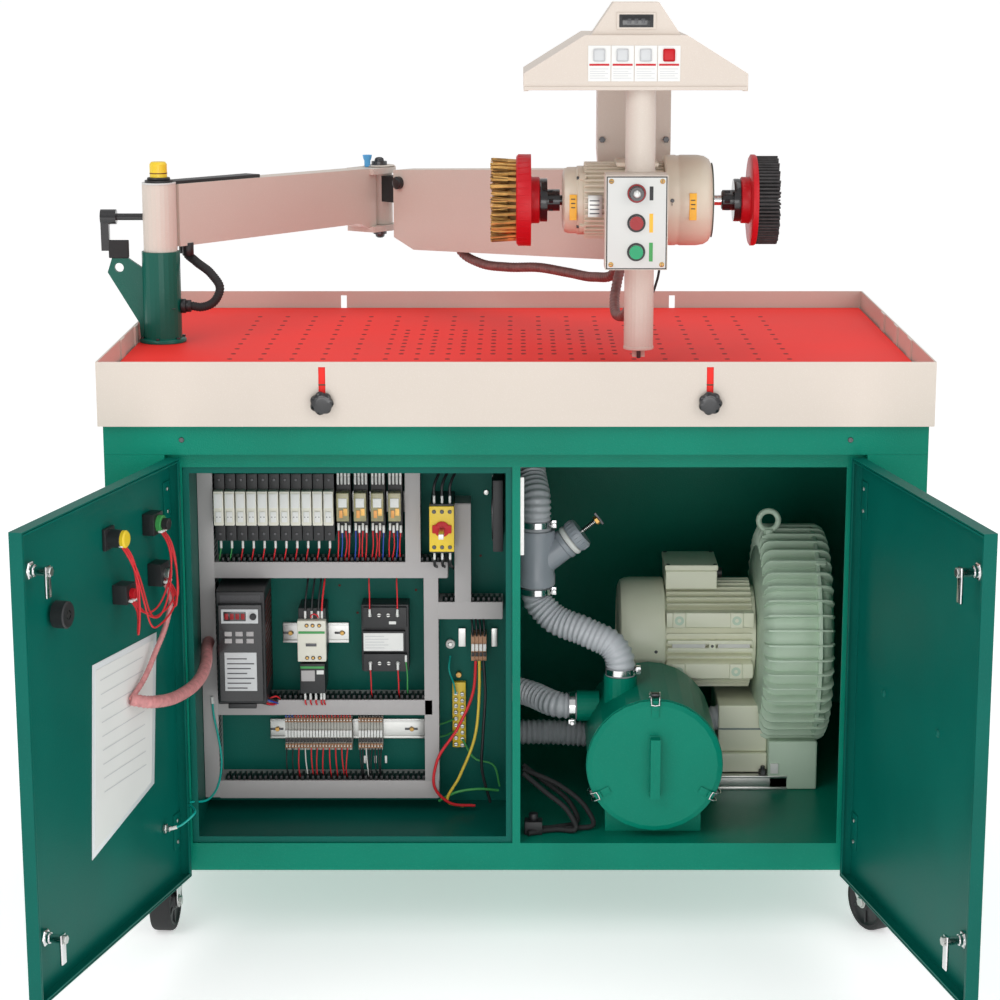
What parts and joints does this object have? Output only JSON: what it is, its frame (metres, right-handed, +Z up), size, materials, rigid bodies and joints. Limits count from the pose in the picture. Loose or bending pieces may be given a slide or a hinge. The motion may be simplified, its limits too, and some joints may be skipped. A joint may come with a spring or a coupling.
{
  "type": "swing arm deburring machine",
  "caption": "Suction table on a caster cabinet with a folding swing arm carrying a twin-ended motor with wire brush and flap disc, over an open electrical and blower bay.",
  "frame": {"origin": "centre of the work surface (top of the mat)", "axes": "+X to the machine's right, +Y to the back, +Z up"},
  "size_m": [1.3757, 1.4918, 1.526],
  "materials": {
    "cabinet_green": "green hammertone powder coat",
    "column_green": "dark green gloss paint",
    "cream_paint": "cream textured powder coat",
    "red_mat": "red rubber mat with a grid of suction holes",
    "duct_grey": "grey slotted wiring duct",
    "black_plastic": "black moulded plastic",
    "yellow_plastic": "yellow moulded plastic",
    "cast_grey": "grey painted cast aluminium",
    "motor_cream": "cream painted aluminium motor",
    "hose_grey": "grey corrugated plastic hose",
    "loom_black": "black ribbed conduit",
    "loom_pink": "pink wires in clear spiral wrap",
    "bright_steel": "bright zinc plated steel",
    "caster_black": "black tread",
    "red_plastic": "red moulded plastic",
    "green_plastic": "green moulded plastic",
    "brass_wire": "twisted brass wire tufts on a red plate",
    "abrasive": "dark grey abrasive flaps on a red plate"
  },
  "bodies": {
    "cabinet": {"base_frame": "cabinet_green", "left_side_panel": "cabinet_green", "right_side_panel": "cabinet_green", "back_panel": "cabinet_green", "front_frame": "cabinet_green", "electrical_enclosure": "cabinet_green", "vacuum_table": "cabinet_green", "vacuum_mat": "red_mat", "left_side_rail": "cream_paint", "right_side_rail": "cream_paint", "wiring_duct": "duct_grey", "motor_drive": "black_plastic", "disconnect_switch": "yellow_plastic", "blower_housing": "cast_grey", "blower_motor": "cast_grey", "filter_drum": "cabinet_green", "hose_fitting": "hose_grey", "table_hose": "hose_grey", "drum_hose": "hose_grey", "blower_hose": "hose_grey", "column": "column_green", "post_conduit": "loom_black", "door_harness": "loom_pink"},
    "front_fence": {"front_fence": "cream_paint"},
    "rear_fence": {"rear_fence": "cream_paint"},
    "front_knob_left": {"front_knob_left": "black_plastic"},
    "front_knob_right": {"front_knob_right": "black_plastic"},
    "left_door": {"left_door": "cabinet_green"},
    "left_latch_upper": {"left_latch_upper": "bright_steel"},
    "left_latch_lower": {"left_latch_lower": "bright_steel"},
    "main_switch_handle": {"main_switch_handle": "black_plastic"},
    "right_door": {"right_door": "cabinet_green"},
    "right_latch_upper": {"right_latch_upper": "bright_steel"},
    "right_latch_lower": {"right_latch_lower": "bright_steel"},
    "caster_fork_front_left": {"caster_fork_front_left": "bright_steel"},
    "caster_wheel_front_left": {"caster_wheel_front_left": "caster_black"},
    "caster_fork_front_right": {"caster_fork_front_right": "bright_steel"},
    "caster_wheel_front_right": {"caster_wheel_front_right": "caster_black"},
    "caster_fork_rear_left": {"caster_fork_rear_left": "bright_steel"},
    "caster_wheel_rear_left": {"caster_wheel_rear_left": "caster_black"},
    "caster_fork_rear_right": {"caster_fork_rear_right": "bright_steel"},
    "caster_wheel_rear_right": {"caster_wheel_rear_right": "caster_black"},
    "blower_impeller": {"blower_impeller": "bright_steel"},
    "filter_lid": {"filter_lid": "cabinet_green"},
    "upper_arm": {"upper_arm": "cream_paint"},
    "clamp_lever": {"clamp_lever": "black_plastic"},
    "elbow_knuckle": {"elbow_knuckle": "column_green"},
    "forearm": {"forearm": "cream_paint", "forearm_loom": "loom_pink"},
    "head": {"head_carrier": "cream_paint", "hood": "cream_paint", "handle_bar": "cream_paint", "head_loom": "loom_pink"},
    "rpm_knob": {"rpm_knob": "black_plastic"},
    "alarm_button": {"alarm_button": "red_plastic"},
    "power_button": {"power_button": "green_plastic"},
    "head_motor": {"head_motor": "motor_cream"},
    "spindle": {"spindle": "bright_steel", "wire_brush": "brass_wire", "flap_disc": "abrasive"}
  },
  "joints": [
    {"name": "front_fence_slide", "type": "slide", "parent": "cabinet", "child": "front_fence", "axis": [0, 0, 1], "range_m": [-0.045, 0]},
    {"name": "rear_fence_slide", "type": "slide", "parent": "cabinet", "child": "rear_fence", "axis": [0, 0, 1], "range_m": [-0.045, 0]},
    {"name": "front_knob_left_turn", "type": "hinge", "parent": "cabinet", "child": "front_knob_left", "pos_m": [-0.305, -0.427, -0.033], "axis": [0, 1, 0], "range_deg": [-180, 180]},
    {"name": "front_knob_right_turn", "type": "hinge", "parent": "cabinet", "child": "front_knob_right", "pos_m": [0.305, -0.427, -0.033], "axis": [0, 1, 0], "range_deg": [-180, 180]},
    {"name": "left_door_swing", "type": "hinge", "parent": "cabinet", "child": "left_door", "pos_m": [-0.552, -0.413, -0.474], "axis": [0, 0, 1], "range_deg": [-14, 105.7], "deforming": ["door_harness"]},
    {"name": "left_latch_upper_turn", "type": "hinge", "parent": "left_door", "child": "left_latch_upper", "pos_m": [-0.68715, -0.8975, -0.188], "axis": [-0.9627, 0.2706, 0], "range_deg": [0, 90]},
    {"name": "left_latch_lower_turn", "type": "hinge", "parent": "left_door", "child": "left_latch_lower", "pos_m": [-0.68715, -0.8975, -0.735], "axis": [-0.9627, 0.2706, 0], "range_deg": [0, 90]},
    {"name": "main_switch_turn", "type": "hinge", "parent": "left_door", "child": "main_switch_handle", "pos_m": [-0.6674, -0.82723, -0.27], "axis": [0.9627, -0.2706, 0], "range_deg": [0, 90]},
    {"name": "right_door_swing", "type": "hinge", "parent": "cabinet", "child": "right_door", "pos_m": [0.552, -0.413, -0.474], "axis": [0, 0, -1], "range_deg": [-14, 101.7]},
    {"name": "right_latch_upper_turn", "type": "hinge", "parent": "right_door", "child": "right_latch_upper", "pos_m": [0.65302, -0.90575, -0.188], "axis": [-0.9792, -0.2028, 0], "range_deg": [0, 90]},
    {"name": "right_latch_lower_turn", "type": "hinge", "parent": "right_door", "child": "right_latch_lower", "pos_m": [0.65302, -0.90575, -0.735], "axis": [-0.9792, -0.2028, 0], "range_deg": [0, 90]},
    {"name": "caster_swivel_front_left", "type": "hinge", "parent": "cabinet", "child": "caster_fork_front_left", "pos_m": [-0.585, -0.32, -0.84], "axis": [0, 0, 1], "continuous": true},
    {"name": "caster_roll_front_left", "type": "hinge", "parent": "caster_fork_front_left", "child": "caster_wheel_front_left", "pos_m": [-0.58761, -0.34989, -0.894], "axis": [0.9962, -0.0872, 0], "continuous": true},
    {"name": "caster_swivel_front_right", "type": "hinge", "parent": "cabinet", "child": "caster_fork_front_right", "pos_m": [0.585, -0.32, -0.84], "axis": [0, 0, 1], "continuous": true},
    {"name": "caster_roll_front_right", "type": "hinge", "parent": "caster_fork_front_right", "child": "caster_wheel_front_right", "pos_m": [0.59908, -0.34649, -0.894], "axis": [0.8829, 0.4695, 0], "continuous": true},
    {"name": "caster_swivel_rear_left", "type": "hinge", "parent": "cabinet", "child": "caster_fork_rear_left", "pos_m": [-0.585, 0.32, -0.84], "axis": [0, 0, 1], "continuous": true},
    {"name": "caster_roll_rear_left", "type": "hinge", "parent": "caster_fork_rear_left", "child": "caster_wheel_rear_left", "pos_m": [-0.59021, 0.34954, -0.894], "axis": [-0.9848, -0.1736, 0], "continuous": true},
    {"name": "caster_swivel_rear_right", "type": "hinge", "parent": "cabinet", "child": "caster_fork_rear_right", "pos_m": [0.585, 0.32, -0.84], "axis": [0, 0, 1], "continuous": true},
    {"name": "caster_roll_rear_right", "type": "hinge", "parent": "caster_fork_rear_right", "child": "caster_wheel_rear_right", "pos_m": [0.58918, 0.34971, -0.894], "axis": [-0.9903, 0.1392, 0], "continuous": true},
    {"name": "impeller_spin", "type": "hinge", "parent": "cabinet", "child": "blower_impeller", "pos_m": [0.48, -0.01, -0.521], "axis": [1, 0, 0], "continuous": true},
    {"name": "filter_lid_slide", "type": "slide", "parent": "cabinet", "child": "filter_lid", "axis": [0, 1, 0], "range_m": [-0.15, 0]},
    {"name": "arm_swing", "type": "hinge", "parent": "cabinet", "child": "upper_arm", "pos_m": [-0.612, -0.007, 0.216], "axis": [0, 0, 1], "range_deg": [-2, 25], "deforming": ["post_conduit"]},
    {"name": "clamp_lever_turn", "type": "hinge", "parent": "upper_arm", "child": "clamp_lever", "pos_m": [-0.641, -0.007, 0.216], "axis": [1, 0, 0], "range_deg": [-60, 180]},
    {"name": "elbow_swing", "type": "hinge", "parent": "upper_arm", "child": "elbow_knuckle", "pos_m": [-0.26197, 0.50498, 0.2], "axis": [0, 0, 1], "range_deg": [-24, 8]},
    {"name": "forearm_lift", "type": "hinge", "parent": "elbow_knuckle", "child": "forearm", "pos_m": [-0.2036, 0.44881, 0.236], "axis": [-0.6934, -0.7206, 0], "range_deg": [0, 14]},
    {"name": "head_level", "type": "hinge", "parent": "forearm", "child": "head", "pos_m": [0.16316, 0.09587, 0.266], "axis": [-0.6934, -0.7206, 0], "range_deg": [-14, 0], "deforming": ["forearm_loom"]},
    {"name": "rpm_knob_turn", "type": "hinge", "parent": "head", "child": "rpm_knob", "pos_m": [0.191, -0.332, 0.286], "axis": [0, -1, 0], "range_deg": [0, 270]},
    {"name": "alarm_button_press", "type": "slide", "parent": "head", "child": "alarm_button", "axis": [0, 1, 0], "range_m": [0, 0.0028], "stiffness_N_per_m": 600, "springref_m": -0.001},
    {"name": "power_button_press", "type": "slide", "parent": "head", "child": "power_button", "axis": [0, 1, 0], "range_m": [0, 0.0028], "stiffness_N_per_m": 600, "springref_m": -0.001},
    {"name": "head_turn", "type": "hinge", "parent": "head", "child": "head_motor", "pos_m": [0.2, -0.127, 0.256], "axis": [0, 1, 0], "range_deg": [-90, 90], "deforming": ["head_loom"]},
    {"name": "spindle_spin", "type": "hinge", "parent": "head_motor", "child": "spindle", "pos_m": [0.2, -0.127, 0.256], "axis": [1, 0, 0], "continuous": true}
  ],
  "couplings": [
    {"joint": "head_level", "follows": "forearm_lift", "ratio": -1}
  ]
}
